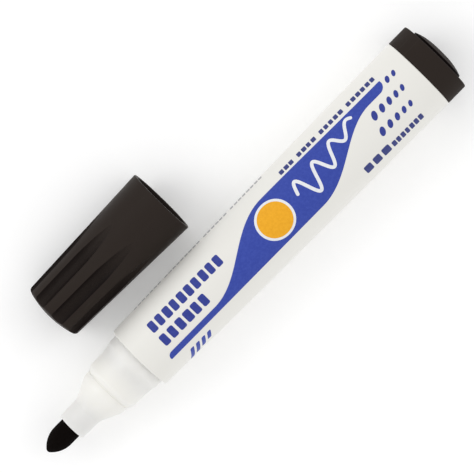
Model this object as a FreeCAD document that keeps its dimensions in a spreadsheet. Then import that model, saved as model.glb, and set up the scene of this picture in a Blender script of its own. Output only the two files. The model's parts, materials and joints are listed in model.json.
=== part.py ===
import FreeCAD, Part
import math
import os

import Sketcher

# A bullet-tip whiteboard marker lying on a surface, with its cap taken off and laid beside it.
#
# Row frame: +Z up, the surface at z = 0, +X along the marker from the writing tip to the end
# plug, the cap on the +Y side. The origin is on the surface under the middle of the whole.
#
# Marker pieces are drawn along their own X axis, x = 0 at the writing tip. Cap pieces are drawn
# along theirs, x = 0 at the middle of the closed end. Both axes run the same way, so the cap
# goes on by moving along +X over the nib. Every outline is a list of (x, radius) corners.

doc = FreeCAD.newDocument("WhiteboardMarker")
sheet = doc.addObject("Spreadsheet::Sheet", "Dimensions")

DIMENSIONS = {
    # Barrel: a tube with a slight bow, thicker at the rear
    "barrel_front": 30.2,
    "barrel_length": 90.95,
    "barrel_front_radius": 8.5,
    "barrel_rear_radius": 9.62,
    "barrel_bow": 0.22,
    "barrel_edge_round": 0.4,
    "barrel_wall": 1.08,
    "barrel_rear_chamfer": 0.12,
    "rib_count": 6,
    "rib_thickness": 0.9,
    "rib_margin": 1.2,
    "rib_root": 0.4,
    # Nose section: collar, flare, seal bead, cap seat, snap land and a tenon in the barrel
    "collar_front": 7.9,
    "collar_front_radius": 3.65,
    "collar_end": 13.0,
    "collar_end_radius": 3.75,
    "collar_edge": 0.15,
    "flare_foot": 14.4,
    "flare_foot_radius": 4.22,
    "flare_foot_curve": 5.0,
    "flare_top": 17.6,
    "flare_top_radius": 5.78,
    "bead_front": 18.9,
    "bead_radius": 6.15,
    "flare_top_curve": 5.0,
    "bead_end": 19.75,
    "neck_radius": 6.05,
    "neck_end": 20.0,
    "seat_front": 21.2,
    "seat_radius": 6.84,
    "seat_end": 24.6,
    "land_front": 28.0,
    "land_radius": 7.4,
    "land_curve": 14.0,
    "tenon_length": 13.7,
    "tenon_chamfer": 0.5,
    "nib_clearance": 0.03,
    "fit_clearance": 0.03,
    "nib_bore_end": 22.0,
    "cup_front": 26.0,
    "cup_radius": 5.95,
    # Snap ribs that hold the nose and the end plug in the barrel
    "snap_height": 0.2,
    "snap_width": 1.2,
    "nose_snap": 39.5,
    "plug_snap": 113.5,
    # Bullet nib
    "nib_radius": 2.75,
    "nib_tip_radius": 0.8,
    "nib_shoulder": 5.0,
    "nib_shank_end": 22.6,
    "nib_tail_start": 24.0,
    "nib_tail_radius": 1.6,
    "nib_tail_end": 35.6,
    "nib_point_radius": 0.5,
    "nib_point": 37.0,
    # Ink reservoir: a fibre core in a thin film
    "reservoir_front": 30.8,
    "reservoir_end": 112.4,
    "reservoir_radius": 5.65,
    "reservoir_edge": 0.5,
    "film_thickness": 0.15,
    "film_margin": 0.9,
    # End plug: a band the size of the barrel, a raised disc behind it, a skirt in the barrel
    "plug_band": 5.45,
    "plug_edge_round": 0.35,
    "plug_front_chamfer": 0.15,
    "disc_radius": 7.1,
    "disc_height": 0.65,
    "disc_flat_radius": 2.0,
    "disc_crown": 1.0,
    "disc_groove_width": 0.22,
    "disc_groove_depth": 0.25,
    "skirt_length": 12.0,
    "skirt_wall": 1.15,
    "skirt_chamfer": 0.5,
    "plug_floor": 2.7,
    "post_radius": 4.6,
    "post_wall": 1.2,
    "post_gap": 0.2,
    # Cap shell: a fluted cone, closed and slightly domed at the narrow end
    "cap_length": 36.9,
    "cap_mouth_radius": 8.6,
    "cap_end_radius": 7.48,
    "cap_end_round": 1.0,
    "cap_end_depth": 1.95,
    "cap_lip": 0.15,
    "mouth_bore_radius": 7.56,
    "mouth_bore_depth": 2.4,
    "mouth_step_depth": 3.9,
    "seat_bore_radius": 7.05,
    "seat_bore_depth": 9.9,
    "liner_bore_radius": 6.78,
    "liner_bore_end_radius": 5.6,
    "liner_bore_depth": 34.2,
    # Flutes: eight round-bottomed grooves that run out towards the mouth
    "flute_count": 8,
    "flute_cutter_radius": 2.2,
    "flute_depth": 1.0,
    "flute_parallel_end": 15.2,
    "flute_runout": 26.0,
    "flute_overrun": 34.0,
    "flute_blend_radius": 40.0,
    # Inner seal: a thin cup inside the cap that closes round the bead of the nose
    "liner_wall": 0.62,
    "liner_gap": 0.03,
    "liner_lip_radius": 6.18,
    "liner_lip_length": 1.0,
    "liner_lip_slope": 0.4,
    # How the cap lies beside the marker
    "cap_offset": 21.5,
    "cap_end_position": 22.45,
    "cap_roll": 16.5,
}

for row, (alias, value) in enumerate(DIMENSIONS.items(), start=1):
    sheet.set(f"A{row}", alias.replace("_", " "))
    sheet.set(f"B{row}", str(value))
    sheet.setAlias(f"B{row}", alias)
doc.recompute()

# A corner nearer than this to an axis of its sketch lies on it, in millimetres.
ON_AXIS = 1e-9

# The flutes take away at least this much of the cap, in cubic millimetres.
LEAST_FLUTE_CUT = 100.0


class Size:
    """A length together with the spreadsheet formula that gives it."""

    def __init__(self, value, formula):
        self.value = float(value)
        self.formula = formula

    def __add__(self, other):
        return combine(self, "+", other, self.value + number(other))

    def __sub__(self, other):
        return combine(self, "-", other, self.value - number(other))

    def __mul__(self, other):
        return combine(self, "*", other, self.value * number(other))

    def __truediv__(self, other):
        return combine(self, "/", other, self.value / number(other))


def number(size):
    return size.value if isinstance(size, Size) else float(size)


def formula(size):
    return size.formula if isinstance(size, Size) else repr(float(size))


def combine(left, sign, right, value):
    return Size(value, f"({formula(left)} {sign} {formula(right)})")


def dim(alias):
    return Size(DIMENSIONS[alias], f"Dimensions.{alias}")


ZERO = Size(0, "0")


class Corner:
    """A corner of an outline, with the curve that leads from it to the next corner.

    curve is None for a straight line, or the radius of an arc. side is +1 where the arc bulges
    to the left of the way from this corner to the next, and -1 where it bulges to the right.
    """

    def __init__(self, x, radius, curve=None, side=1):
        self.x = x
        self.radius = radius
        self.curve = curve
        self.side = side

    def point(self):
        return FreeCAD.Vector(self.x.value, self.radius.value, 0)


def plane_of(body, role):
    return next(item for item in body.Origin.OriginFeatures if item.Role == role)


def new_sketch(body, name, role="XZ_Plane"):
    sketch = body.newObject("Sketcher::SketchObject", name)
    sketch.AttachmentSupport = [(plane_of(body, role), "")]
    sketch.MapMode = "FlatFace"
    return sketch


def bind(sketch, constraint, name, size):
    index = sketch.addConstraint(constraint)
    sketch.renameConstraint(index, name)
    sketch.setExpression(f"Constraints.{name}", formula(size))


def arc_between(start, end, radius, side):
    """An arc of a circle and the end of it that lies at start, as Sketcher counts ends."""
    chord = end - start
    middle = (start + end) * 0.5
    left = FreeCAD.Vector(-chord.y, chord.x, 0).normalize()
    rise = math.sqrt(radius ** 2 - (chord.Length / 2) ** 2)
    centre = middle - left * (rise * side)
    circle = Part.Circle(centre, FreeCAD.Vector(0, 0, 1), radius)
    start_angle = math.atan2(start.y - centre.y, start.x - centre.x)
    end_angle = math.atan2(end.y - centre.y, end.x - centre.x)
    if side > 0:
        return Part.ArcOfCircle(circle, end_angle, start_angle), 2
    return Part.ArcOfCircle(circle, start_angle, end_angle), 1


def draw_outline(sketch, corners, closed=True):
    """Draw the outline and tie every corner and every arc's radius to the spreadsheet."""
    count = len(corners)
    edges = []
    for index in range(count if closed else count - 1):
        corner = corners[index]
        start = corner.point()
        end = corners[(index + 1) % count].point()
        if corner.curve is None:
            geometry = Part.LineSegment(start, end)
            start_end = 1
        else:
            geometry, start_end = arc_between(start, end, corner.curve.value, corner.side)
        edges.append((sketch.addGeometry(geometry, False), start_end))
    for index, (edge, start_end) in enumerate(edges):
        corner = corners[index]
        pin_corner(sketch, edge, start_end, index, corner)
        far_end = 3 - start_end
        if index + 1 < len(edges):
            next_edge, next_start = edges[index + 1]
            sketch.addConstraint(Sketcher.Constraint("Coincident", edge, far_end, next_edge, next_start))
        elif closed:
            first_edge, first_start = edges[0]
            sketch.addConstraint(Sketcher.Constraint("Coincident", edge, far_end, first_edge, first_start))
        else:
            pin_corner(sketch, edge, far_end, index + 1, corners[-1])
        if corner.curve is not None:
            radius = Sketcher.Constraint("Radius", edge, corner.curve.value)
            bind(sketch, radius, f"curve{index}", corner.curve)


def pin_corner(sketch, edge, end, index, corner):
    """Fix one corner: on an axis of the sketch where it is zero, else at a bound distance."""
    if abs(corner.x.value) < ON_AXIS:
        sketch.addConstraint(Sketcher.Constraint("PointOnObject", edge, end, -2))
    else:
        along = Sketcher.Constraint("DistanceX", edge, end, corner.x.value)
        bind(sketch, along, f"x{index}", corner.x)
    if abs(corner.radius.value) < ON_AXIS:
        sketch.addConstraint(Sketcher.Constraint("PointOnObject", edge, end, -1))
    else:
        across = Sketcher.Constraint("DistanceY", edge, end, corner.radius.value)
        bind(sketch, across, f"r{index}", corner.radius)


def turned_body(label, corners, placement):
    """A body turned about its own X axis from one closed outline."""
    body = doc.addObject("PartDesign::Body", label)
    body.Label = label
    body.Placement = placement
    sketch = new_sketch(body, f"{label}_profile")
    draw_outline(sketch, corners)
    turning = body.newObject("PartDesign::Revolution", f"{label}_turning")
    turning.Profile = sketch
    turning.ReferenceAxis = (sketch, ["H_Axis"])
    turning.Angle = 360
    doc.recompute()
    return body


def repeat_around_axis(body, feature, count, name):
    """Repeat one feature of a body evenly about the body's X axis."""
    pattern = body.newObject("PartDesign::PolarPattern", name)
    pattern.Originals = [feature]
    pattern.Axis = (plane_of(body, "X_Axis"), [""])
    pattern.Angle = 360
    pattern.setExpression("Occurrences", formula(count))
    body.Tip = pattern
    doc.recompute()


# Where the marker lies. Its bowed barrel touches the surface at mid length, where the side of
# the barrel is parallel to its own chord, so the axis tips down a little towards the nib.
barrel_rear = dim("barrel_front") + dim("barrel_length")
barrel_middle = dim("barrel_front") + dim("barrel_length") / 2
middle_radius = (dim("barrel_front_radius") + dim("barrel_rear_radius")) / 2 + dim("barrel_bow")
radius_gain = dim("barrel_rear_radius") - dim("barrel_front_radius")
marker_tilt = math.atan2(radius_gain.value, dim("barrel_length").value)

# Where the cap lies: on the side of its cone, with the mouth end raised by the taper.
cone_start = dim("cap_end_depth")
cone_length = dim("cap_length") - dim("cap_lip") - cone_start
cap_taper = (dim("cap_mouth_radius") - dim("cap_end_radius")) / cone_length
cap_tilt = math.atan(cap_taper.value)

whole_length = barrel_rear + dim("plug_band") + dim("disc_height") + dim("disc_crown")
origin_x = whole_length.value / 2
whole_width = dim("barrel_rear_radius") + dim("cap_offset") + dim("cap_mouth_radius")
marker_y = dim("barrel_rear_radius").value - whole_width.value / 2
cap_y = marker_y + dim("cap_offset").value


def lying_placement(start_x, side_y, tilt, touch_x, touch_radius, roll=0.0):
    """Lay a body on the surface so that the side of it at touch_x and touch_radius touches."""
    height = touch_radius * math.cos(tilt) - touch_x * math.sin(tilt)
    tip_up = FreeCAD.Rotation(FreeCAD.Vector(0, 1, 0), -math.degrees(tilt))
    turn = FreeCAD.Rotation(FreeCAD.Vector(1, 0, 0), roll)
    return FreeCAD.Placement(FreeCAD.Vector(start_x, side_y, height), tip_up * turn)


marker_place = lying_placement(
    -origin_x, marker_y, marker_tilt, barrel_middle.value, middle_radius.value
)
cap_place = lying_placement(
    dim("cap_end_position").value - origin_x,
    cap_y,
    cap_tilt,
    cone_start.value,
    dim("cap_end_radius").value,
    dim("cap_roll").value,
)


def build_nib():
    """Felt bullet nib: round tip, curved flanks, shank in the nose, tail in the reservoir."""
    tip = dim("nib_tip_radius")
    full = dim("nib_radius")
    shoulder = dim("nib_shoulder")
    # The flank arc is tangent to the shank at the shoulder and to the ball of the tip.
    reach = shoulder - tip
    flank = (reach * reach + full * full - tip * tip) / ((full - tip) * 2)
    spread = flank - tip
    corners = [
        Corner(ZERO, ZERO, tip, 1),
        Corner(tip - tip * reach / spread, tip * (flank - full) / spread, flank, 1),
        Corner(shoulder, full),
        Corner(dim("nib_shank_end"), full),
        Corner(dim("nib_tail_start"), dim("nib_tail_radius")),
        Corner(dim("nib_tail_end"), dim("nib_tail_radius")),
        Corner(dim("nib_point"), dim("nib_point_radius")),
        Corner(dim("nib_point"), ZERO),
    ]
    return turned_body("writing_nib", corners, marker_place)


def snap_rib(centre, base, grow=ZERO):
    """Three sloping faces of a snap rib, or of the groove it sits in, from front to rear."""
    half = dim("snap_width") / 2 + grow
    crest = base + dim("snap_height") + grow
    return [
        Corner(centre - half, base),
        Corner(centre - half / 2, crest),
        Corner(centre + half / 2, crest),
        Corner(centre + half, base),
    ]


def build_nose():
    """Nib holder: its front is what shows between the nib and the barrel."""
    edge = dim("collar_edge")
    rear = dim("barrel_front") + dim("tenon_length")
    bore = dim("nib_radius") + dim("nib_clearance")
    land = dim("land_radius")
    corners = [
        Corner(dim("collar_front"), bore),
        Corner(dim("collar_front"), dim("collar_front_radius") - edge),
        Corner(dim("collar_front") + edge, dim("collar_front_radius")),
        Corner(dim("collar_end"), dim("collar_end_radius"), dim("flare_foot_curve"), -1),
        Corner(dim("flare_foot"), dim("flare_foot_radius")),
        Corner(dim("flare_top"), dim("flare_top_radius"), dim("flare_top_curve"), 1),
        Corner(dim("bead_front"), dim("bead_radius")),
        Corner(dim("bead_end"), dim("bead_radius")),
        Corner(dim("bead_end") + edge, dim("neck_radius")),
        Corner(dim("neck_end"), dim("neck_radius")),
        Corner(dim("seat_front"), dim("seat_radius")),
        Corner(dim("seat_end"), dim("seat_radius"), dim("land_curve"), -1),
        Corner(dim("land_front"), land),
        *snap_rib(dim("nose_snap"), land),
        Corner(rear - dim("tenon_chamfer"), land),
        Corner(rear, land - dim("tenon_chamfer")),
        Corner(rear, dim("cup_radius")),
        Corner(dim("cup_front"), dim("cup_radius")),
        Corner(dim("nib_bore_end"), bore),
    ]
    return turned_body("nose_section", corners, marker_place)


def build_barrel():
    """Bowed tube with a bore for the nose at the front and for the plug's skirt at the rear."""
    front = dim("barrel_front")
    edge = dim("barrel_edge_round")
    bevel = dim("barrel_rear_chamfer")
    outer_front = dim("barrel_front_radius")
    outer_rear = dim("barrel_rear_radius")
    nose_bore = dim("land_radius") + dim("fit_clearance")
    plug_bore = outer_rear - dim("barrel_wall")
    nose_stop = front + dim("tenon_length") + dim("snap_height")
    skirt_stop = barrel_rear - dim("skirt_length") - dim("snap_height")
    bow_length = dim("barrel_length") - edge - bevel
    bow_curve = bow_length * bow_length / (dim("barrel_bow") * 8) + dim("barrel_bow") / 2
    nose_groove = snap_rib(dim("nose_snap"), nose_bore, dim("fit_clearance"))
    plug_groove = snap_rib(dim("plug_snap"), plug_bore, dim("fit_clearance"))
    corners = [
        Corner(front, nose_bore),
        Corner(front, outer_front - edge, edge, 1),
        Corner(front + edge, outer_front, bow_curve, 1),
        Corner(barrel_rear - bevel, outer_rear),
        Corner(barrel_rear, outer_rear - bevel),
        Corner(barrel_rear, plug_bore),
        *reversed(plug_groove),
        Corner(skirt_stop, plug_bore),
        Corner(nose_stop, nose_bore),
        *reversed(nose_groove),
    ]
    body = turned_body("barrel", corners, marker_place)

    # Thin ribs inside the tube centre the reservoir and leave air channels between them.
    rib_front = nose_stop + dim("rib_margin")
    rib_rear = skirt_stop - dim("rib_margin")
    rib_inner = dim("reservoir_radius") + dim("film_thickness") + dim("fit_clearance")
    bore_slope = (plug_bore - nose_bore) / (skirt_stop - nose_stop)
    root_front = nose_bore + bore_slope * dim("rib_margin") + dim("rib_root")
    root_rear = plug_bore - bore_slope * dim("rib_margin") + dim("rib_root")
    sketch = new_sketch(body, "rib_profile")
    draw_outline(sketch, [
        Corner(rib_front, rib_inner),
        Corner(rib_rear, rib_inner),
        Corner(rib_rear, root_rear),
        Corner(rib_front, root_front),
    ])
    rib = body.newObject("PartDesign::Pad", "rib")
    rib.Profile = sketch
    rib.Midplane = True
    rib.setExpression("Length", formula(dim("rib_thickness")))
    doc.recompute()
    repeat_around_axis(body, rib, dim("rib_count"), "ribs")
    return body


def build_reservoir():
    """Fibre core that holds the ink, with the hole that the nib's tail makes in its front."""
    front = dim("reservoir_front")
    rear = dim("reservoir_end")
    edge = dim("reservoir_edge")
    full = dim("reservoir_radius")
    gap = dim("nib_clearance")
    corners = [
        Corner(front, dim("nib_tail_radius") + gap),
        Corner(front, full - edge),
        Corner(front + edge, full),
        Corner(rear - edge, full),
        Corner(rear, full - edge),
        Corner(rear, ZERO),
        Corner(dim("nib_point") + gap, ZERO),
        Corner(dim("nib_point") + gap, dim("nib_point_radius") + gap),
        Corner(dim("nib_tail_end") + gap, dim("nib_tail_radius") + gap),
    ]
    return turned_body("ink_reservoir", corners, marker_place)


def build_film():
    """Thin film sleeve wrapped round the fibre core."""
    inner = dim("reservoir_radius")
    outer = inner + dim("film_thickness")
    front = dim("reservoir_front") + dim("film_margin")
    rear = dim("reservoir_end") - dim("film_margin")
    corners = [
        Corner(front, inner),
        Corner(front, outer),
        Corner(rear, outer),
        Corner(rear, inner),
    ]
    return turned_body("reservoir_film", corners, marker_place)


def build_plug():
    """End plug: skirt in the barrel, band flush with it, raised disc on its rear face."""
    band_rear = barrel_rear + dim("plug_band")
    full = dim("barrel_rear_radius")
    edge = dim("plug_edge_round")
    bevel = dim("plug_front_chamfer")
    skirt_outer = full - dim("barrel_wall") - dim("fit_clearance")
    skirt_inner = skirt_outer - dim("skirt_wall")
    skirt_front = barrel_rear - dim("skirt_length")
    post_front = dim("reservoir_end") + dim("post_gap")
    post_inner = dim("post_radius") - dim("post_wall")
    floor = band_rear - dim("plug_floor")
    disc_rear = band_rear + dim("disc_height")
    groove_floor = band_rear - dim("disc_groove_depth")
    # The disc's face swells to a small flat, and runs into it without an edge.
    swell = dim("disc_radius") - dim("disc_flat_radius")
    swell_curve = (swell * swell + dim("disc_crown") * dim("disc_crown")) / (dim("disc_crown") * 2)
    corners = [
        Corner(post_front, post_inner),
        Corner(post_front, dim("post_radius")),
        Corner(floor, dim("post_radius")),
        Corner(floor, skirt_inner),
        Corner(skirt_front, skirt_inner),
        Corner(skirt_front, skirt_outer - dim("skirt_chamfer")),
        Corner(skirt_front + dim("skirt_chamfer"), skirt_outer),
        *snap_rib(dim("plug_snap"), skirt_outer),
        Corner(barrel_rear, skirt_outer),
        Corner(barrel_rear, full - bevel),
        Corner(barrel_rear + bevel, full),
        Corner(band_rear - edge, full, edge, 1),
        Corner(band_rear, full - edge),
        Corner(band_rear, dim("disc_radius") + dim("disc_groove_width")),
        Corner(groove_floor, dim("disc_radius") + dim("disc_groove_width")),
        Corner(groove_floor, dim("disc_radius")),
        Corner(disc_rear, dim("disc_radius"), swell_curve, 1),
        Corner(disc_rear + dim("disc_crown"), dim("disc_flat_radius")),
        Corner(disc_rear + dim("disc_crown"), ZERO),
        Corner(floor, ZERO),
        Corner(floor, post_inner),
    ]
    return turned_body("end_plug", corners, marker_place)


def build_cap_shell():
    """Cap: tapered outside with eight flutes, stepped inside to fit the nose and the seal."""
    length = dim("cap_length")
    mouth = dim("cap_mouth_radius")
    end = dim("cap_end_radius")
    lip = dim("cap_lip")
    rounding = dim("cap_end_round")
    # The closed end is part of a ball centred on the axis. It runs into the rounding of the
    # edge without a crease: the centre of the rounding lies on the ball's own radius.
    rounding_centre = end - rounding
    depth_gain = cone_start - rounding
    spread = cone_start * cone_start + rounding_centre * rounding_centre - rounding * rounding
    ball = spread / (depth_gain * 2)
    reach = ball / (ball - rounding)
    corners = [
        Corner(ZERO, ZERO, ball, 1),
        Corner(ball - (ball - cone_start) * reach, rounding_centre * reach, rounding, 1),
        Corner(cone_start, end),
        Corner(length - lip, mouth),
        Corner(length, mouth - lip),
        Corner(length, dim("mouth_bore_radius") + lip),
        Corner(length - lip, dim("mouth_bore_radius")),
        Corner(length - dim("mouth_bore_depth"), dim("mouth_bore_radius")),
        Corner(length - dim("mouth_step_depth"), dim("seat_bore_radius")),
        Corner(length - dim("seat_bore_depth"), dim("seat_bore_radius")),
        Corner(length - dim("seat_bore_depth"), dim("liner_bore_radius")),
        Corner(length - dim("liner_bore_depth"), dim("liner_bore_end_radius")),
        Corner(length - dim("liner_bore_depth"), ZERO),
    ]
    body = turned_body("cap_shell", corners, cap_place)
    volume_before = body.Shape.Volume

    # A round cutter runs parallel to the cone from the closed end, then climbs out of it.
    cutter = dim("flute_cutter_radius")
    parallel_end = dim("flute_parallel_end")
    runout = dim("flute_runout")
    overrun = dim("flute_overrun")
    start_height = end - cap_taper * cone_start + cutter - dim("flute_depth")
    bend_height = start_height + cap_taper * parallel_end
    climb = cap_taper + dim("flute_depth") / (runout - parallel_end)
    overrun_height = bend_height + climb * (overrun - parallel_end)
    bend_turn = math.atan(climb.value) - math.atan(cap_taper.value)
    blend = dim("flute_blend_radius") * math.tan(bend_turn / 2)
    route = new_sketch(body, "flute_route")
    draw_outline(route, [
        Corner(ZERO, start_height),
        Corner(parallel_end - blend, bend_height - cap_taper * blend, dim("flute_blend_radius"), -1),
        Corner(parallel_end + blend, bend_height + climb * blend),
        Corner(overrun, overrun_height),
    ], closed=False)
    section = new_sketch(body, "flute_section", "YZ_Plane")
    centre = FreeCAD.Vector(0, start_height.value, 0)
    circle = section.addGeometry(Part.Circle(centre, FreeCAD.Vector(0, 0, 1), cutter.value), False)
    section.addConstraint(Sketcher.Constraint("PointOnObject", circle, 3, -2))
    height = Sketcher.Constraint("DistanceY", circle, 3, start_height.value)
    bind(section, height, "height", start_height)
    bind(section, Sketcher.Constraint("Radius", circle, cutter.value), "cutter", cutter)
    doc.recompute()
    flute = body.newObject("PartDesign::SubtractivePipe", "flute")
    flute.Profile = section
    flute.Spine = (route, [])
    flute.Transition = "Transformed"
    doc.recompute()
    repeat_around_axis(body, flute, dim("flute_count"), "flutes")
    if body.Shape.Volume > volume_before - LEAST_FLUTE_CUT:
        raise RuntimeError("the flutes cut nothing")
    return body


def build_liner():
    """Inner seal: a thin cup in the closed half of the cap, with a lip round its mouth."""
    length = dim("cap_length")
    gap = dim("liner_gap")
    wall = dim("liner_wall")
    mouth = length - dim("seat_bore_depth")
    outer_front = dim("liner_bore_radius") - gap
    outer_end = dim("liner_bore_end_radius") - gap
    closed = length - dim("liner_bore_depth") + gap
    lip_end = mouth - dim("liner_lip_length")
    corners = [
        Corner(closed, ZERO),
        Corner(closed, outer_end),
        Corner(mouth, outer_front),
        Corner(mouth, dim("liner_lip_radius") + dim("liner_lip_slope")),
        Corner(mouth - dim("liner_lip_slope"), dim("liner_lip_radius")),
        Corner(lip_end, dim("liner_lip_radius")),
        Corner(closed + wall, outer_end - wall),
        Corner(closed + wall, ZERO),
    ]
    return turned_body("cap_inner_seal", corners, cap_place)


pieces = [
    build_barrel(),
    build_nose(),
    build_nib(),
    build_reservoir(),
    build_film(),
    build_plug(),
    build_cap_shell(),
    build_liner(),
]

doc.recompute()
for item in doc.Objects:
    faults = [state for state in item.State if state in ("Invalid", "Error")]
    if faults:
        raise RuntimeError(f"{item.Name} is {faults}")

os.makedirs("parts", exist_ok=True)
for piece in pieces:
    shape = piece.Shape
    if shape.isNull() or not shape.isValid():
        raise RuntimeError(f"{piece.Label} has no valid shape")
    box = shape.BoundBox
    print(
        f"{piece.Label}: {len(shape.Solids)} solid, {shape.Volume:.1f} mm3, "
        f"x {box.XMin:.2f} to {box.XMax:.2f}, y {box.YMin:.2f} to {box.YMax:.2f}, "
        f"z {box.ZMin:.3f} to {box.ZMax:.2f}"
    )
    shape.exportStep(f"parts/{piece.Label}.step")
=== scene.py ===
import json
import math
import random

import bmesh
import bpy
from mathutils import Matrix, Vector


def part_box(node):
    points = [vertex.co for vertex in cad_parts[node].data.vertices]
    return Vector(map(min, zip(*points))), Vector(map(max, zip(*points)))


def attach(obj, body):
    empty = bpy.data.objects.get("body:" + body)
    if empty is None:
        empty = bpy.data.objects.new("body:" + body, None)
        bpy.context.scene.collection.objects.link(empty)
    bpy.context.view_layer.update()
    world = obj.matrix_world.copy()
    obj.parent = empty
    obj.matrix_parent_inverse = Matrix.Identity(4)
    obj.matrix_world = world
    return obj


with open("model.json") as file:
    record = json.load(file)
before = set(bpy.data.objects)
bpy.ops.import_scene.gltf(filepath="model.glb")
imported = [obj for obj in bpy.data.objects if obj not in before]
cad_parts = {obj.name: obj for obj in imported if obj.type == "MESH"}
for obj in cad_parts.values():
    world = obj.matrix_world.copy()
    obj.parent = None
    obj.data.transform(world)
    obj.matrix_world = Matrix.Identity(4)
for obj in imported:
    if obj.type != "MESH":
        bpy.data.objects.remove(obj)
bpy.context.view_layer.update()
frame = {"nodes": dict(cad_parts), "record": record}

# A whiteboard marker with its cap off, lying on a pale floor. Lengths named here are in
# millimetres, and MM turns them into the frame's metres.
MM = 0.001
random.seed(7)

# ---------------------------------------------------------------- where things are

mounts = {mount["name"]: mount for mount in frame["record"]["mounts"]}
rear_face = mounts["standing_face"]

# The marker's own axis runs through the middle of its rear face. ALONG points to the rear,
# ABOVE up and ASIDE towards the cap.
ALONG = Vector(rear_face["axis"]).normalized()
ASIDE = Vector((0, 1, 0))
ABOVE = ALONG.cross(ASIDE)
if ABOVE.z < 0:
    ABOVE.negate()
tip_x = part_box("writing_nib")[0].x
rear_centre = Vector(rear_face["pos_m"])
TIP = rear_centre - ALONG * ((rear_centre.x - tip_x) / ALONG.x)


def marker_point(along, angle, radius):
    """The point at along from the tip and radius from the axis, both in millimetres.

    angle is 0 above the axis and grows towards the cap.
    """
    outward = ABOVE * math.cos(angle) + ASIDE * math.sin(angle)
    return TIP + ALONG * (along * MM) + outward * (radius * MM)


def barrel_ends():
    """Where the barrel starts and ends, from the tip in millimetres."""
    vertices = frame["nodes"]["barrel"].data.vertices
    places = [(vertex.co - TIP).dot(ALONG) / MM for vertex in vertices]
    return min(places), max(places)


# The outside of the barrel widens from front to rear and bows out by BOW half way.
BARREL_FRONT, BARREL_REAR = barrel_ends()
FRONT_RADIUS = 8.5
REAR_RADIUS = mounts["plug_band"]["dims"]["r_mm"]
BOW = 0.22


def barrel_radius(along):
    """Outside radius of the bowed barrel."""
    part = (along - BARREL_FRONT) / (BARREL_REAR - BARREL_FRONT)
    chord = FRONT_RADIUS + (REAR_RADIUS - FRONT_RADIUS) * part
    return chord + BOW * 4 * part * (1 - part)


# ---------------------------------------------------------------- materials

# The two colours that each material varies between.
BARREL_WHITE = ((0.80, 0.785, 0.74), (0.83, 0.82, 0.78))
NOSE_WHITE = ((0.845, 0.83, 0.785), (0.875, 0.865, 0.83))
NIB_BLACK = ((0.0016, 0.0010, 0.0008), (0.0065, 0.0045, 0.0040))
DARK_GREY = ((0.0235, 0.0170, 0.0140), (0.0280, 0.0215, 0.0180))
SEAL_GREY = ((0.014, 0.012, 0.011), (0.022, 0.02, 0.018))
FIBRE_BLACK = ((0.006, 0.006, 0.008), (0.03, 0.03, 0.036))
FILM_GREY = ((0.62, 0.63, 0.65), (0.74, 0.75, 0.77))
FLOOR_WHITE = ((0.90, 0.90, 0.90), (0.92, 0.92, 0.92))

# Painted shade: the near-black colour the dark plastic is darkened to deep in its hollows. The
# dark plastic on a scratch.
PAINTED_HOLLOW_SHADE = (0.003, 0.001, 0.0008)
DARK_SCRATCH = (0.032, 0.026, 0.022)

# Rays that the softened edges and the openness of a surface are worked out from.
EDGE_SAMPLES = 6
OPENNESS_SAMPLES = 8

# Most values of a noise lie between these two.
NOISE_LOW = 0.3
NOISE_HIGH = 0.7


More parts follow.
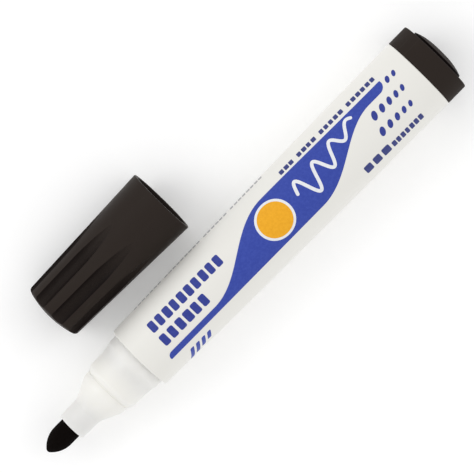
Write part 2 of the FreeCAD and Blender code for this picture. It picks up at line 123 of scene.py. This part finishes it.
class Shader:
    """A Principled material and short ways to feed its sockets."""

    def __init__(self, name, **sockets):
        self.material = bpy.data.materials.new(name)
        self.material.use_nodes = True
        self.nodes = self.material.node_tree.nodes
        self.links = self.material.node_tree.links
        self.principled = self.nodes["Principled BSDF"]
        for socket, value in sockets.items():
            self.principled.inputs[socket.replace("_", " ")].default_value = value
        self.place = self.nodes.new("ShaderNodeTexCoord").outputs["Object"]
        self.edges = None

    def link(self, source, target):
        """Feed target from source."""
        self.links.new(source, target)

    def stretched(self, stretch):
        """Object coordinates scaled by stretch along X, Y and Z."""
        mapping = self.nodes.new("ShaderNodeMapping")
        mapping.inputs["Scale"].default_value = stretch
        self.link(self.place, mapping.inputs["Vector"])
        return mapping.outputs["Vector"]

    def noise(self, scale, detail=3.0, roughness=0.5, stretch=(1, 1, 1)):
        """Noise of about 1 / scale metres, made longer where stretch is below 1."""
        node = self.nodes.new("ShaderNodeTexNoise")
        node.inputs["Scale"].default_value = scale
        node.inputs["Detail"].default_value = detail
        node.inputs["Roughness"].default_value = roughness
        self.link(self.stretched(stretch), node.inputs["Vector"])
        return node.outputs["Fac"]

    def spread(self, source, low, high, to_low=0.0, to_high=1.0):
        """source between low and high, spread over to_low to to_high."""
        node = self.nodes.new("ShaderNodeMapRange")
        node.inputs["From Min"].default_value = low
        node.inputs["From Max"].default_value = high
        node.inputs["To Min"].default_value = to_low
        node.inputs["To Max"].default_value = to_high
        self.link(source, node.inputs["Value"])
        return node.outputs["Result"]

    def add_part(self, source, part, base):
        """base plus part of source."""
        node = self.nodes.new("ShaderNodeMath")
        node.operation = "MULTIPLY_ADD"
        self.link(source, node.inputs[0])
        node.inputs[1].default_value = part
        self.link(base, node.inputs[2])
        return node.outputs["Value"]

    def blend(self, factor, first, second):
        """A colour between first and second, each a colour or a socket."""
        node = self.nodes.new("ShaderNodeMix")
        node.data_type = "RGBA"
        for socket, value in (("A", first), ("B", second)):
            target = next(i for i in node.inputs if i.name == socket and i.type == "RGBA")
            if isinstance(value, tuple):
                target.default_value = (*value, 1)
            else:
                self.link(value, target)
        self.link(factor, node.inputs["Factor"])
        return next(o for o in node.outputs if o.type == "RGBA")

    def colour(self, source):
        """Take the colour from source."""
        self.link(source, self.principled.inputs["Base Color"])

    def roughness(self, source):
        """Take the roughness from source."""
        self.link(source, self.principled.inputs["Roughness"])

    def vary_roughness(self, noise, low, high):
        """Let the roughness follow a noise between low and high."""
        self.roughness(self.spread(noise, NOISE_LOW, NOISE_HIGH, low, high))

    def soften_edges(self, radius):
        """Shade sharp edges as if they were rounded by radius millimetres."""
        node = self.nodes.new("ShaderNodeBevel")
        node.samples = EDGE_SAMPLES
        node.inputs["Radius"].default_value = radius * MM
        self.edges = node.outputs["Normal"]

    def openness(self, reach):
        """1 where a surface is open, falling to 0 deep in a hollow of about reach millimetres."""
        node = self.nodes.new("ShaderNodeAmbientOcclusion")
        node.samples = OPENNESS_SAMPLES
        node.only_local = True
        node.inputs["Distance"].default_value = reach * MM
        return node.outputs["AO"]

    def bumps(self, *layers):
        """Stack bump layers, each a (height, strength, distance in millimetres)."""
        normal = self.edges
        for height, strength, distance in layers:
            node = self.nodes.new("ShaderNodeBump")
            node.inputs["Strength"].default_value = strength
            node.inputs["Distance"].default_value = distance * MM
            self.link(height, node.inputs["Height"])
            if normal is not None:
                self.link(normal, node.inputs["Normal"])
            normal = node.outputs["Normal"]
        self.link(normal, self.principled.inputs["Normal"])


def hairlines(shader, scale):
    """Fine scratches along the marker, as a mask that is 1 on a scratch."""
    lines = shader.noise(scale, detail=2, roughness=0.6, stretch=(0.03, 1, 1))
    return shader.spread(lines, 0.66, 0.74)


def barrel_material():
    """Warm white plastic with a fine grain and faint hairlines that dull its gloss."""
    shader = Shader("barrel_plastic", IOR=1.49, Specular_IOR_Level=0.5)
    shader.soften_edges(0.12)
    cloud = shader.noise(60, detail=4)
    grain = shader.noise(2500, detail=2)
    ripple = shader.noise(120, detail=2)
    gloss = shader.spread(shader.noise(180), 0.35, 0.65, 0.29, 0.37)
    shader.colour(shader.blend(cloud, *BARREL_WHITE))
    shader.roughness(shader.add_part(hairlines(shader, 1600), 0.1, gloss))
    shader.bumps((grain, 0.12, 0.02), (ripple, 0.15, 0.05))
    return shader.material


def nose_material():
    """Natural plastic that light goes a little way into, with flow marks along it."""
    shader = Shader(
        "nose_plastic",
        IOR=1.49,
        Subsurface_Weight=0.85,
        Subsurface_Radius=(2.3 * MM, 2.3 * MM, 2.2 * MM),
        Subsurface_Scale=1.0,
    )
    shader.soften_edges(0.12)
    flow = shader.noise(240, detail=4, stretch=(0.25, 1, 1))
    grain = shader.noise(1800)
    shader.colour(shader.blend(flow, *NOSE_WHITE))
    shader.vary_roughness(shader.noise(500), 0.32, 0.44)
    shader.bumps((grain, 0.15, 0.03), (flow, 0.2, 0.06))
    return shader.material


def nib_material():
    """Felt soaked in black ink: fibres along the nib, with pores between them."""
    shader = Shader("nib_felt", Specular_IOR_Level=0.03)
    fibres = shader.noise(2600, detail=5, roughness=0.7, stretch=(0.16, 1, 1))
    pores = shader.noise(1500)
    shader.colour(shader.blend(fibres, *NIB_BLACK))
    shader.vary_roughness(pores, 0.75, 0.95)
    shader.bumps((pores, 0.5, 0.06), (fibres, 0.8, 0.08))
    return shader.material


def dark_material(name, roughness):
    """Near-black plastic with shade painted in, darker deep in its hollows, and a few faint
    hairlines along it.

    roughness is where its gloss is best. It is up to 0.1 more elsewhere.
    """
    shader = Shader(name, IOR=1.16)
    shader.soften_edges(0.15)
    tint = shader.blend(shader.noise(90), *DARK_GREY)
    worn = shader.blend(hairlines(shader, 1500), tint, DARK_SCRATCH)
    # Painted shade: the base colour darkens to near black deep in the flutes and other hollows,
    # where the surface is closed in.
    hollow_shade = shader.spread(shader.openness(4.0), 0.86, 1.0)
    grain = shader.noise(3000, detail=2)
    ripple = shader.noise(150, detail=2)
    shader.colour(shader.blend(hollow_shade, PAINTED_HOLLOW_SHADE, worn))
    shader.vary_roughness(shader.noise(260), roughness, roughness + 0.1)
    shader.bumps((grain, 0.12, 0.02), (ripple, 0.12, 0.05))
    return shader.material


def seal_material():
    """Soft dark plastic of the seal in the cap."""
    shader = Shader("seal_plastic", IOR=1.5)
    grain = shader.noise(1500, detail=2)
    shader.colour(shader.blend(shader.noise(200), *SEAL_GREY))
    shader.vary_roughness(shader.noise(400), 0.5, 0.62)
    shader.bumps((grain, 0.15, 0.03))
    return shader.material


def fibre_material():
    """Bundled fibre soaked in black ink."""
    shader = Shader("reservoir_fibre", Sheen_Weight=0.2, Specular_IOR_Level=0.2)
    fibres = shader.noise(2200, detail=5, roughness=0.7, stretch=(0.05, 1, 1))
    shader.colour(shader.blend(fibres, *FIBRE_BLACK))
    shader.vary_roughness(fibres, 0.8, 0.95)
    shader.bumps((fibres, 0.8, 0.1))
    return shader.material


def film_material():
    """Thin wrapping film with small wrinkles."""
    shader = Shader("reservoir_film", IOR=1.5)
    wrinkles = shader.noise(160, detail=4, stretch=(0.4, 1, 1))
    shader.colour(shader.blend(wrinkles, *FILM_GREY))
    shader.vary_roughness(wrinkles, 0.12, 0.25)
    shader.bumps((wrinkles, 0.4, 0.15))
    return shader.material


def ink_material(name, thin, full):
    """Printed ink, from thin to full in density, about as glossy as the barrel."""
    shader = Shader(name, IOR=1.3)
    cover = shader.noise(1400, detail=4, roughness=0.6)
    shader.colour(shader.blend(shader.spread(cover, 0.25, 0.6), thin, full))
    shader.vary_roughness(shader.noise(600), 0.34, 0.44)
    shader.bumps((cover, 0.2, 0.02))
    return shader.material


def dress(node, material):
    """Give a CAD node its material, in every slot it has."""
    mesh = frame["nodes"][node].data
    if not mesh.materials:
        mesh.materials.append(material)
    for index in range(len(mesh.materials)):
        mesh.materials[index] = material


dress("barrel", barrel_material())
dress("nose_section", nose_material())
dress("writing_nib", nib_material())
dress("ink_reservoir", fibre_material())
dress("reservoir_film", film_material())
dress("end_plug", dark_material("plug_plastic", roughness=0.58))
dress("cap_shell", dark_material("cap_plastic", roughness=0.42))
dress("cap_inner_seal", seal_material())

# ---------------------------------------------------------------- print on the barrel

# How far each layer of ink stands above the barrel, and how deep all of them reach into it.
INK_RISE = 0.02
OVERPRINT_RISE = 0.035
TOP_RISE = 0.05
INK_ROOT = 0.05

# Points closer than MERGE become one, and edges shorter than COLLAPSE go, so that a patch has
# no empty faces where it narrows to nothing.
MERGE = 0.0005
COLLAPSE = 0.0002

# Edges that turn more than this many degrees are shaded as sharp.
SHARP_EDGE = 35

# How many faces each kind of patch has along and around the barrel.
RIBBON_GRID = (200, 24)
DISC_GRID = (40, 20)
WAVE_GRID = (240, 3)
BLOCK_GRID = (12, 6)
BAR_GRID = (12, 10)
DOT_GRID = (16, 8)


def add_patch(mesh, shape, grid, rise):
    """Add one printed patch to mesh as a thin closed solid, sunk into the barrel's wall.

    shape(s, t) gives its points for s and t from 0 to 1: along from the tip, and around from
    the top of the barrel towards the cap, both in millimetres.
    """
    columns, rows = grid
    layers = []
    for lift in (rise, -INK_ROOT):
        layer = []
        for column in range(columns + 1):
            points = []
            for row in range(rows + 1):
                along, around = shape(column / columns, row / rows)
                radius = barrel_radius(along)
                point = marker_point(along, around / radius, radius + lift)
                points.append(mesh.verts.new(point))
            layer.append(points)
        layers.append(layer)
    top, bottom = layers
    for near in range(columns):
        far = near + 1
        for row in range(rows):
            for layer in layers:
                mesh.faces.new((
                    layer[near][row], layer[far][row],
                    layer[far][row + 1], layer[near][row + 1],
                ))
        for row in (0, rows):
            mesh.faces.new((top[near][row], top[far][row], bottom[far][row], bottom[near][row]))
    for column in (0, columns):
        for row in range(rows):
            mesh.faces.new((
                top[column][row], top[column][row + 1],
                bottom[column][row + 1], bottom[column][row],
            ))


def print_piece(name, material, patches, rise=INK_RISE):
    """One printed piece from several patches, each a (shape, grid)."""
    mesh = bmesh.new()
    for shape, grid in patches:
        add_patch(mesh, shape, grid, rise)
    bmesh.ops.remove_doubles(mesh, verts=mesh.verts, dist=MERGE * MM)
    bmesh.ops.dissolve_degenerate(mesh, edges=mesh.edges, dist=COLLAPSE * MM)
    bmesh.ops.recalc_face_normals(mesh, faces=mesh.faces)
    data = bpy.data.meshes.new(name)
    mesh.to_mesh(data)
    mesh.free()
    data.shade_smooth()
    data.set_sharp_from_angle(angle=math.radians(SHARP_EDGE))
    data.materials.append(material)
    piece = bpy.data.objects.new(name, data)
    bpy.context.scene.collection.objects.link(piece)
    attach(piece, "marker")


def smooth(part):
    """A smooth step from 0 to 1 as part goes from 0 to 1."""
    part = min(max(part, 0.0), 1.0)
    return part * part * (3 - 2 * part)


def corner_cut(from_end, corner):
    """How far an edge draws in near its end, where it is rounded by corner."""
    inset = corner - min(max(from_end, 0.0), corner)
    return corner - math.sqrt(corner * corner - inset * inset)


# How strongly crowded() draws steps to the ends: 0 leaves them even, and 1 is the most.
CROWDING = 0.95

# How far before and behind a place on a path stroke() looks to find its direction.
PATH_STEP = 0.001


def crowded(s):
    """s from 0 to 1 again, but with its steps crowded together at the two ends."""
    return s - CROWDING * math.sin(2 * math.pi * s) / (2 * math.pi)


def block(start, end, middle, height, corner, lean=0.0):
    """A block with rounded corners. lean slants it, as along per around."""
    def shape(s, t):
        along = start + (end - start) * (1 - math.cos(math.pi * s)) / 2
        reach = height / 2 - corner_cut(min(along - start, end - along), corner)
        across = reach * (2 * t - 1)
        return along + lean * across, middle + across
    return shape


def ellipse(along, around, length, height, lean=0.0):
    """An ellipse. lean slants it, as along per around."""
    def shape(s, t):
        reach = height / 2 * math.sin(math.pi * s)
        across = reach * (2 * t - 1)
        return along - length / 2 * math.cos(math.pi * s) + lean * across, around + across
    return shape


def stroke(path, width):
    """A stroke of even width with round ends along path(s), which gives (along, around)."""
    def shape(s, t):
        part = crowded(s)
        along, around = path(part)
        ahead = path(part + PATH_STEP)
        behind = path(part - PATH_STEP)
        along_pace = (ahead[0] - behind[0]) / (2 * PATH_STEP)
        around_pace = (ahead[1] - behind[1]) / (2 * PATH_STEP)
        pace = math.hypot(along_pace, around_pace)
        from_end = pace * min(part, 1 - part)
        reach = (width / 2 - corner_cut(from_end, width / 2)) * (2 * t - 1)
        return along - reach * around_pace / pace, around + reach * along_pace / pace
    return shape


# The ribbon: a thin stripe that rises into a wide band and ends in a slim tail. RISE is where
# its high edge climbs, and FALL where its low edge does. Each pair of corners is how much the
# low and the high edge are rounded at that end.
RIBBON_START = 35.6
RIBBON_END = 113.4
STRIPE_LOW = -5.95
STRIPE_HIGH = -4.3
BAND_HIGH = 6.05
TAIL_LOW = 3.1
TAIL_HIGH = 5.5
RISE = (51.0, 75.5)
FALL = (84.6, 107.8)
START_CORNERS = (0.15, 1.3)
END_CORNERS = (1.9, 0.3)


def change(along, span):
    """0 before span, 1 after it and a smooth step between."""
    return smooth((along - span[0]) / (span[1] - span[0]))


def ribbon_low(along):
    """Low edge of the ribbon."""
    return STRIPE_LOW + (TAIL_LOW - STRIPE_LOW) * change(along, FALL)


def ribbon_high(along):
    """High edge of the ribbon."""
    sink = (BAND_HIGH - TAIL_HIGH) * change(along, (RISE[1], RIBBON_END))
    return STRIPE_HIGH + (BAND_HIGH - STRIPE_HIGH) * change(along, RISE) - sink


def ribbon(s, t):
    """The whole ribbon, with its corners rounded."""
    along = RIBBON_START + (RIBBON_END - RIBBON_START) * crowded(s)
    cuts = []
    for at_start, at_end in zip(START_CORNERS, END_CORNERS):
        cut = corner_cut(along - RIBBON_START, at_start)
        cut += corner_cut(RIBBON_END - along, at_end)
        cuts.append(cut)
    low = ribbon_low(along) + cuts[0]
    high = ribbon_high(along) - cuts[1]
    return along, low + (high - low) * t


# A disc with a ring round it fills the front of the band, and a wavy line the rest. The line
# swings by WAVE_SWING of the room on either side of it.
DISC_ALONG = 74.6
DISC_SIZE = 8.4
RING_SIZE = 9.6
WAVE_START = 82.2
WAVE_LENGTH = 21.0
WAVE_WIDTH = 0.8
WAVE_SWING = 0.5
HALF_WAVES = 7


def wave(s):
    """A wavy line down the middle of the band, smaller where the band narrows."""
    along = WAVE_START + WAVE_LENGTH * s
    half = (ribbon_high(along) - ribbon_low(along)) / 2
    swing = WAVE_SWING * half * math.sin(HALF_WAVES * math.pi * s)
    return along, ribbon_low(along) + half + swing


blue_ink = ink_material("blue_ink", (0.046, 0.080, 0.41), (0.034, 0.062, 0.36))
white_ink = ink_material("white_ink", (0.73, 0.75, 0.80), (0.83, 0.84, 0.86))
amber_ink = ink_material("amber_ink", (0.80, 0.36, 0.012), (0.88, 0.42, 0.018))
text_ink = ink_material("text_ink", (0.042, 0.062, 0.33), (0.030, 0.046, 0.27))
note_ink = ink_material("note_ink", (0.050, 0.062, 0.24), (0.036, 0.048, 0.19))
grey_ink = ink_material("grey_ink", (0.44, 0.44, 0.45), (0.34, 0.34, 0.35))

ring = ellipse(DISC_ALONG, 0, RING_SIZE, RING_SIZE)
disc = ellipse(DISC_ALONG, 0, DISC_SIZE, DISC_SIZE)
wavy_line = stroke(wave, WAVE_WIDTH)
print_piece("print_ribbon", blue_ink, [(ribbon, RIBBON_GRID)])
print_piece("print_disc_ring", white_ink, [(ring, DISC_GRID)], OVERPRINT_RISE)
print_piece("print_disc", amber_ink, [(disc, DISC_GRID)], TOP_RISE)
print_piece("print_wave", white_ink, [(wavy_line, WAVE_GRID)], OVERPRINT_RISE)

# Rows of blocks where a real marker has words. A row is where it starts and ends, how many
# blocks each of its words has, and its middle and height.
WORD_ROWS = {
    "print_title": (text_ink, (
        (37.1, 60.3, (10,), 2.9, 2.8),
        (37.0, 52.0, (6,), -1.2, 2.8),
    )),
    "print_note_above": (note_ink, (
        (82.7, 113.4, (3, 4, 5, 6), 7.25, 1.3),
    )),
    "print_note_side": (grey_ink, (
        (37.2, 79.6, (7, 9, 6, 8), 12.7, 1.6),
    )),
    "print_note_below": (note_ink, (
        (96.8, 105.2, (3,), -7.8, 2.4),
        (105.3, 115.1, (7,), -8.1, 1.8),
    )),
}

# The gap between words and the widths of blocks are parts of the step from block to block. The
# rounding of a block is a part of its height.
WORD_GAP = 0.7
BLOCK_WIDTHS = (0.68, 0.8)
BLOCK_CORNER = 0.15


def word_row(start, end, words, middle, height):
    """Blocks from start to end, in groups of as many blocks as words says."""
    pitch = (end - start) / (sum(words) + WORD_GAP * (len(words) - 1))
    patches = []
    along = start
    for count in words:
        for _ in range(count):
            width = pitch * random.uniform(*BLOCK_WIDTHS)
            shape = block(along, along + width, middle, height, BLOCK_CORNER * height)
            patches.append((shape, BLOCK_GRID))
            along += pitch
        along += pitch * WORD_GAP
    return patches


for name, (ink, rows) in WORD_ROWS.items():
    blocks = []
    for row in rows:
        blocks.extend(word_row(*row))
    print_piece(name, ink, blocks)

# Four leaning bars low on the front of the barrel, each shorter than the one before.
BAR_COUNT = 4
BAR_START = 39.2
BAR_PITCH = 1.9
BAR_WIDTH = 1.1
BAR_CORNER = 0.3
BAR_LEAN = 0.4
BAR_MIDDLE = -10.1
BAR_HEIGHT = 4.4
BAR_SHRINK = 0.6

bars = []
for index in range(BAR_COUNT):
    along = BAR_START + BAR_PITCH * index
    middle = BAR_MIDDLE + BAR_SHRINK / 2 * index
    height = BAR_HEIGHT - BAR_SHRINK * index
    bar = block(along, along + BAR_WIDTH, middle, height, BAR_CORNER, BAR_LEAN)
    bars.append((bar, BAR_GRID))
print_piece("print_bars", blue_ink, bars)

# Three rows of dots behind the ribbon, smaller and closer together towards the rear. A row is
# how many dots, where the first is, the first step, how far around, and how many steps smaller
# the first dot already is. DOT_SHRINK is how much of the full size each step takes off, and
# DOT_DRAW how fast the steps get shorter.
DOT_ROWS = (
    (5, 107.0, 2.5, 0.48, 0),
    (5, 105.8, 2.5, -3.4, 0),
    (2, 114.85, 2.05, 4.33, 3),
)
DOT_LENGTH = 1.5
DOT_HEIGHT = 2.15
DOT_LEAN = 0.3
DOT_SHRINK = 0.075
DOT_DRAW = 0.07

dots = []
for count, start, step, around, first in DOT_ROWS:
    for index in range(count):
        size = 1 - DOT_SHRINK * (index + first)
        along = start + step * index - DOT_DRAW * index * index
        dot = ellipse(along, around, DOT_LENGTH * size, DOT_HEIGHT * size, DOT_LEAN)
        dots.append((dot, DOT_GRID))
print_piece("print_dots", text_ink, dots)

# ---------------------------------------------------------------- camera, light and floor

# The camera looks nearly straight down at its target, from LEAN_BACK farther to the rear, with
# the marker running up to the right at ROLL degrees. VIEW_WIDTH is how much of the plane at
# VIEW_PLANE it sees.
VIEW_WIDTH = 108.343
ROLL = 45.52
TARGET_ALONG = 65.6
TARGET_ASIDE = 3.5
LEAN_BACK = 14.0
CAMERA_HEIGHT = 700
VIEW_PLANE = 9.0
SENSOR = 36.0

# The nearest and farthest that the camera sees, in metres.
NEAREST = 0.01
FARTHEST = 10


def make_camera():
    """The camera over the marker, rolled so that the marker runs up to the right."""
    data = bpy.data.cameras.new("camera")
    data.sensor_width = SENSOR
    data.lens = SENSOR * (CAMERA_HEIGHT - VIEW_PLANE) / VIEW_WIDTH
    data.clip_start = NEAREST
    data.clip_end = FARTHEST
    camera = bpy.data.objects.new("camera", data)
    bpy.context.scene.collection.objects.link(camera)
    target = TIP + ALONG * (TARGET_ALONG * MM) + ASIDE * (TARGET_ASIDE * MM)
    target.z = VIEW_PLANE * MM
    camera.location = (target.x + LEAN_BACK * MM, target.y, CAMERA_HEIGHT * MM)
    sight = (target - camera.location).to_track_quat("-Z", "Y").to_matrix()
    side = sight.transposed() @ Vector((1, 0, 0))
    roll = math.atan2(side.y, side.x) - math.radians(ROLL)
    camera.rotation_euler = (sight @ Matrix.Rotation(roll, 3, "Z")).to_euler()
    bpy.context.scene.camera = camera


# How strong the light from all round and the floor's own glow are, and how far the floor
# reaches from the middle, in metres.
SKY = 0.84
FLOOR_GLOW = 0.15
FLOOR_REACH = 3.0


def area_light(name, place, size, power):
    """A square soft light at place, in metres, turned towards the middle of the floor."""
    data = bpy.data.lights.new(name, "AREA")
    data.size = size
    data.energy = power
    light = bpy.data.objects.new(name, data)
    light.location = place
    light.rotation_euler = (-Vector(place)).to_track_quat("-Z", "Y").to_euler()
    bpy.context.scene.collection.objects.link(light)


def make_lights():
    """Soft, even light from all round, with a key light and a fill light to shape it."""
    area_light("key", place=(-0.45, 0.55, 0.6), size=0.5, power=1.6)
    area_light("fill", place=(0.6, -0.3, 0.6), size=0.6, power=0.8)
    world = bpy.data.worlds.new("studio")
    world.use_nodes = True
    background = world.node_tree.nodes["Background"]
    background.inputs["Color"].default_value = (1, 1, 1, 1)
    background.inputs["Strength"].default_value = SKY
    bpy.context.scene.world = world


def floor_material():
    """Pale floor that glows a little, like a light table, so that shadows stay soft."""
    shader = Shader("studio_floor", Specular_IOR_Level=0.1, Emission_Strength=FLOOR_GLOW)
    shader.colour(shader.blend(shader.noise(12), *FLOOR_WHITE))
    shader.vary_roughness(shader.noise(30, detail=2), 0.85, 0.95)
    return shader.material


def make_floor():
    """A flat floor under the marker, which isn't part of it."""
    mesh = bmesh.new()
    bmesh.ops.create_grid(mesh, x_segments=8, y_segments=8, size=FLOOR_REACH)
    data = bpy.data.meshes.new("studio_floor")
    mesh.to_mesh(data)
    mesh.free()
    data.materials.append(floor_material())
    floor = bpy.data.objects.new("studio_floor", data)
    bpy.context.scene.collection.objects.link(floor)


make_camera()
make_lights()
make_floor()
bpy.context.scene.view_settings.view_transform = "Standard"
